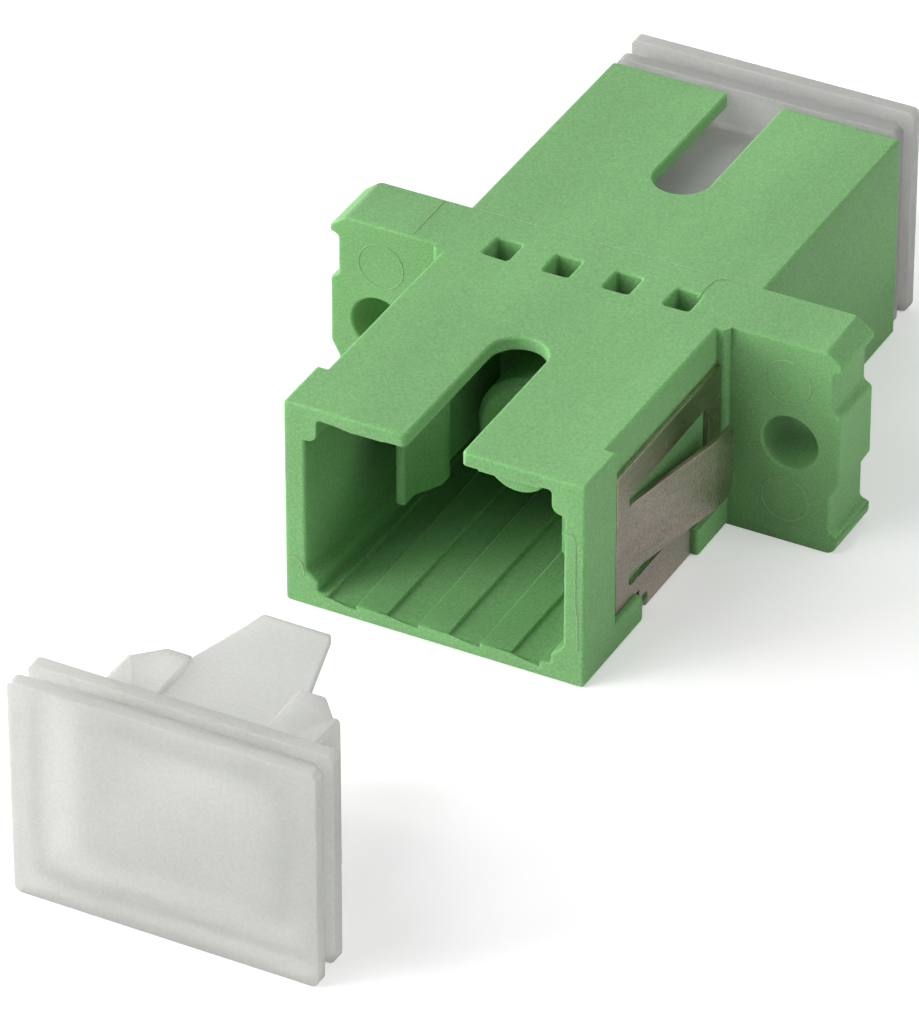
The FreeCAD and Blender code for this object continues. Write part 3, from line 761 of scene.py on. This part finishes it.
class ADAPTER_OT_holders(bpy.types.Operator):
    """Give both latch holders their eased edges and matt green plastic"""
    bl_idname = "adapter.holders"
    bl_label = "Latch Holders"

    def execute(self, context):
        plastic = context.scene.adapter_plastic
        green = moulded_plastic("green_holder_plastic", plastic.holder_colour, plastic.grain)
        for end in ("front", "rear"):
            dress(f"{end}_latch_holder", f"{end}_holder", green, plastic.edge, "adapter")
        return {"FINISHED"}


class ADAPTER_OT_sleeve(bpy.types.Operator):
    """Give the split sleeve its polished ceramic"""
    bl_idname = "adapter.sleeve"
    bl_label = "Split Sleeve"

    def execute(self, context):
        ceramic = polished_ceramic("sleeve_ceramic", context.scene.adapter_sleeve.colour)
        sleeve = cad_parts["split_sleeve"]
        sleeve.data.materials.clear()
        sleeve.data.materials.append(ceramic)
        return {"FINISHED"}


class ADAPTER_OT_clip(bpy.types.Operator):
    """Give the spring clip its stamped edges and rolled steel"""
    bl_idname = "adapter.clip"
    bl_label = "Spring Clip"

    def execute(self, context):
        clip = context.scene.adapter_clip
        steel = spring_steel("clip_steel", clip.colour)
        dress("mounting_clip", "spring_clip", steel, clip.edge, "adapter")
        return {"FINISHED"}


# Each cap: where along Y its plug turns into its plates, and how pale plates and plug are. The
# rear plug's paleness is partly painted light, lifting a plug that sits in the housing's shade.
CAP_ENDS = (
    ("front", (-30.0 * MM, -32.2 * MM), 1.0, 0.85),
    # Painted light: the rear plug is paler to stand in for light that reaches it inside the
    # housing's slot.
    ("rear", (12.2 * MM, 13.75 * MM), 0.8, 1.1),
)


class ADAPTER_OT_caps(bpy.types.Operator):
    """Give both dust caps their eased edges and translucent plastic"""
    bl_idname = "adapter.caps"
    bl_label = "Dust Caps"

    def execute(self, context):
        cap = context.scene.adapter_cap
        for end, turn, plate_tone, plug_tone_and_painted_light in CAP_ENDS:
            plastic = cap_plastic(f"{end}_cap_plastic", shade(cap.plate_colour, plate_tone),
                                  shade(cap.plug_colour, plug_tone_and_painted_light), turn, cap.haze)
            dress(f"{end}_dust_cap", f"{end}_cap_shell", plastic, cap.edge, f"{end}_cap")
        return {"FINISHED"}


class ADAPTER_OT_stage(bpy.types.Operator):
    """Set out the floor, the lamps and the camera"""
    bl_idname = "adapter.stage"
    bl_label = "Stage"

    def execute(self, context):
        scene = context.scene
        stage = scene.adapter_stage
        scene.view_settings.view_transform = "Standard"
        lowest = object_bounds()[0]
        paper_floor(lowest[2])
        studio_world()
        for lamp in LAMPS:
            soft_lamp(*lamp)
        view = bpy.data.cameras.new("camera")
        view.sensor_width = SENSOR_WIDTH
        view.lens = stage.lens
        view.clip_start = CLIP_START
        back = direction(stage.azimuth, stage.elevation)
        scene.camera = placed("camera", view, CAMERA_AIM, back, stage.distance)
        return {"FINISHED"}


STEPS = (ADAPTER_OT_housing, ADAPTER_OT_mould_marks, ADAPTER_OT_holders, ADAPTER_OT_sleeve,
         ADAPTER_OT_clip, ADAPTER_OT_caps, ADAPTER_OT_stage)
SETTINGS = {"adapter_plastic": PlasticSettings, "adapter_mark": MarkSettings,
            "adapter_sleeve": SleeveSettings, "adapter_clip": ClipSettings,
            "adapter_cap": CapSettings, "adapter_stage": StageSettings}


class ADAPTER_PT_panel(bpy.types.Panel):
    """Steps and settings of the adapter, in the order that they are made"""
    bl_idname = "ADAPTER_PT_panel"
    bl_label = "Fibre Adapter"
    bl_space_type = "VIEW_3D"
    bl_region_type = "UI"
    bl_category = "Adapter"

    def draw(self, context):
        layout = self.layout
        for step in STEPS:
            layout.operator(step.bl_idname)
        for name, group in SETTINGS.items():
            box = layout.box()
            for key in group.__annotations__:
                box.prop(getattr(context.scene, name), key)


CLASSES = tuple(SETTINGS.values()) + STEPS + (ADAPTER_PT_panel,)


def register():
    for cls in CLASSES:
        bpy.utils.register_class(cls)
    for name, group in SETTINGS.items():
        setattr(bpy.types.Scene, name, PointerProperty(type=group))


def unregister():
    for name in SETTINGS:
        delattr(bpy.types.Scene, name)
    for cls in reversed(CLASSES):
        bpy.utils.unregister_class(cls)


def main():
    """Run every step."""
    register()
    for step in STEPS:
        group, action = step.bl_idname.split(".")
        getattr(getattr(bpy.ops, group), action)()


if __name__ == "__main__":
    main()
